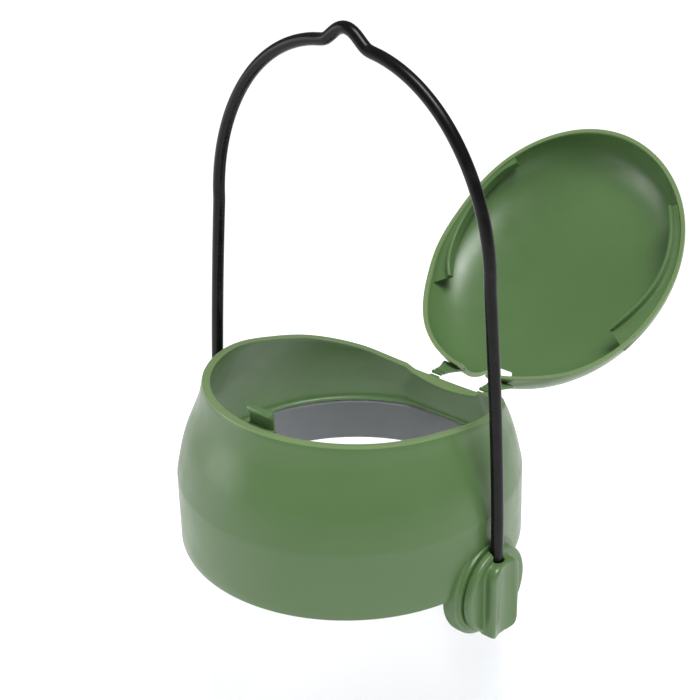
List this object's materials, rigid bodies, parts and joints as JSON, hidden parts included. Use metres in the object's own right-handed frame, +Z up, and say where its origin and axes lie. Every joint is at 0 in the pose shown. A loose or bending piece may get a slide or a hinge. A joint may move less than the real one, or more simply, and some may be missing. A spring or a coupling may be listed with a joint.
{
  "type": "wasp trap",
  "caption": "Hanging wasp trap: clear tube on a lift-off bait base, inward entry funnels, domed collar with a flip-top lid and a swinging wire bail.",
  "frame": {"origin": "centre of the base's flat underside, on the tube's axis", "axes": "+Z up along the tube's axis, +Y towards the lid's hinge at the back, -Y towards the catch at the front, X along the bail's pivots and the lid's fold"},
  "size_m": [0.1064, 0.1837, 0.3291],
  "materials": {
    "green_plastic": "satin moulded mid green",
    "clear_plastic": "clear, glossy plastic tube",
    "yellow_plastic": "satin yellow",
    "coated_wire": "gloss black coating on steel wire",
    "seal_rubber": "soft black"
  },
  "bodies": {
    "base": {"base_bowl": "green_plastic", "base_seal": "seal_rubber"},
    "head": {"clear_tube": "clear_plastic", "port_bezel_1": "green_plastic", "port_bezel_2": "green_plastic", "port_bezel_3": "green_plastic", "port_bezel_4": "green_plastic", "entry_funnel_1": "yellow_plastic", "entry_funnel_2": "yellow_plastic", "entry_funnel_3": "yellow_plastic", "entry_funnel_4": "yellow_plastic", "collar": "green_plastic", "hinge_web_left": "green_plastic", "hinge_web_right": "green_plastic"},
    "lid": {"lid": "green_plastic"},
    "bail": {"bail_wire": "coated_wire", "grip_left": "green_plastic", "grip_right": "green_plastic"}
  },
  "joints": [
    {"name": "tube_lift", "type": "slide", "parent": "base", "child": "head", "axis": [0, 0, 1], "range_m": [0, 0.045]},
    {"name": "lid_hinge", "type": "hinge", "parent": "head", "child": "lid", "pos_m": [0, 0.0503, 0.207], "axis": [1, 0, 0], "range_deg": [0, 130]},
    {"name": "bail_swing", "type": "hinge", "parent": "head", "child": "bail", "pos_m": [0, 0, 0.1835], "axis": [1, 0, 0], "range_deg": [-50, 140]}
  ]
}
